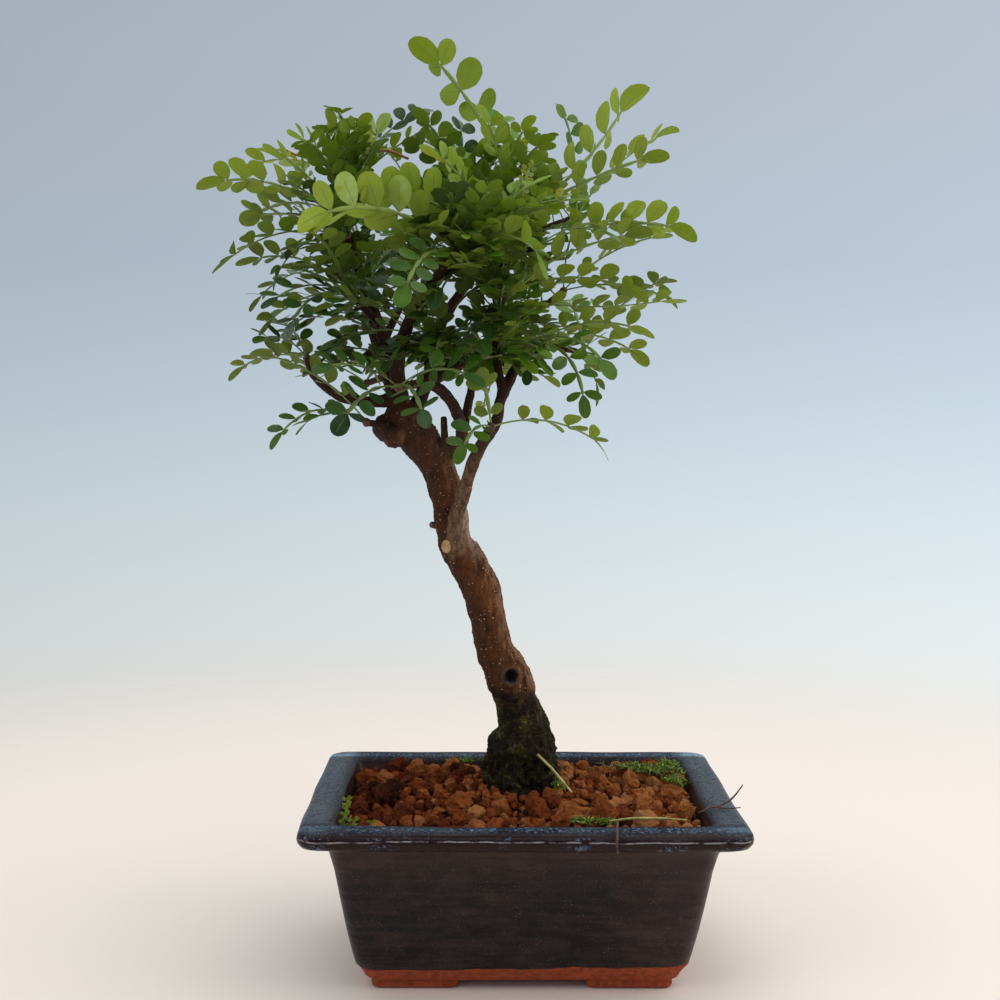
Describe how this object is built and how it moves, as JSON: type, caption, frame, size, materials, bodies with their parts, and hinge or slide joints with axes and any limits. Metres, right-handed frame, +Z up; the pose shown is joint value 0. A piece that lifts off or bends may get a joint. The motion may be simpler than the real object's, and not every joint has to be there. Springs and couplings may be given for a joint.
{
  "type": "chinese pepper bonsai",
  "caption": "Small bonsai tree with a leaning trunk and pinnate leaves, standing in a rectangular glazed pot.",
  "frame": {"origin": "middle of the whole object's box, on the surface that the pot stands on", "axes": "+Z up, +Y away from the pot's front, +X to the right as seen from the front"},
  "size_m": [0.1881, 0.1522, 0.3261],
  "materials": {
    "glaze": "dark blue-black satin glaze, bluer on the rim, bare terracotta at the foot",
    "net": "coarse plastic net",
    "soil": "red-brown baked clay and lava granules over dark soil",
    "bark": "red-brown bark with pale pores",
    "leaf": "living leaf, glossy dark green above and yellow-green below"
  },
  "bodies": {
    "root": {"pot": "glaze", "drain_screen_left": "net", "drain_screen_right": "net", "soil": "soil", "trunk": "bark", "spray_01": "leaf", "spray_02": "leaf", "spray_03": "leaf", "spray_04": "leaf", "spray_05": "leaf", "spray_06": "leaf", "spray_07": "leaf", "spray_08": "leaf", "spray_09": "leaf", "spray_10": "leaf", "spray_11": "leaf", "spray_12": "leaf", "spray_13": "leaf", "spray_14": "leaf", "spray_15": "leaf", "spray_16": "leaf", "spray_17": "leaf", "spray_18": "leaf", "spray_19": "leaf", "spray_20": "leaf", "spray_21": "leaf", "spray_22": "leaf", "spray_23": "leaf", "spray_24": "leaf", "spray_25": "leaf", "spray_26": "leaf", "spray_27": "leaf", "spray_28": "leaf"}
  },
  "joints": []
}
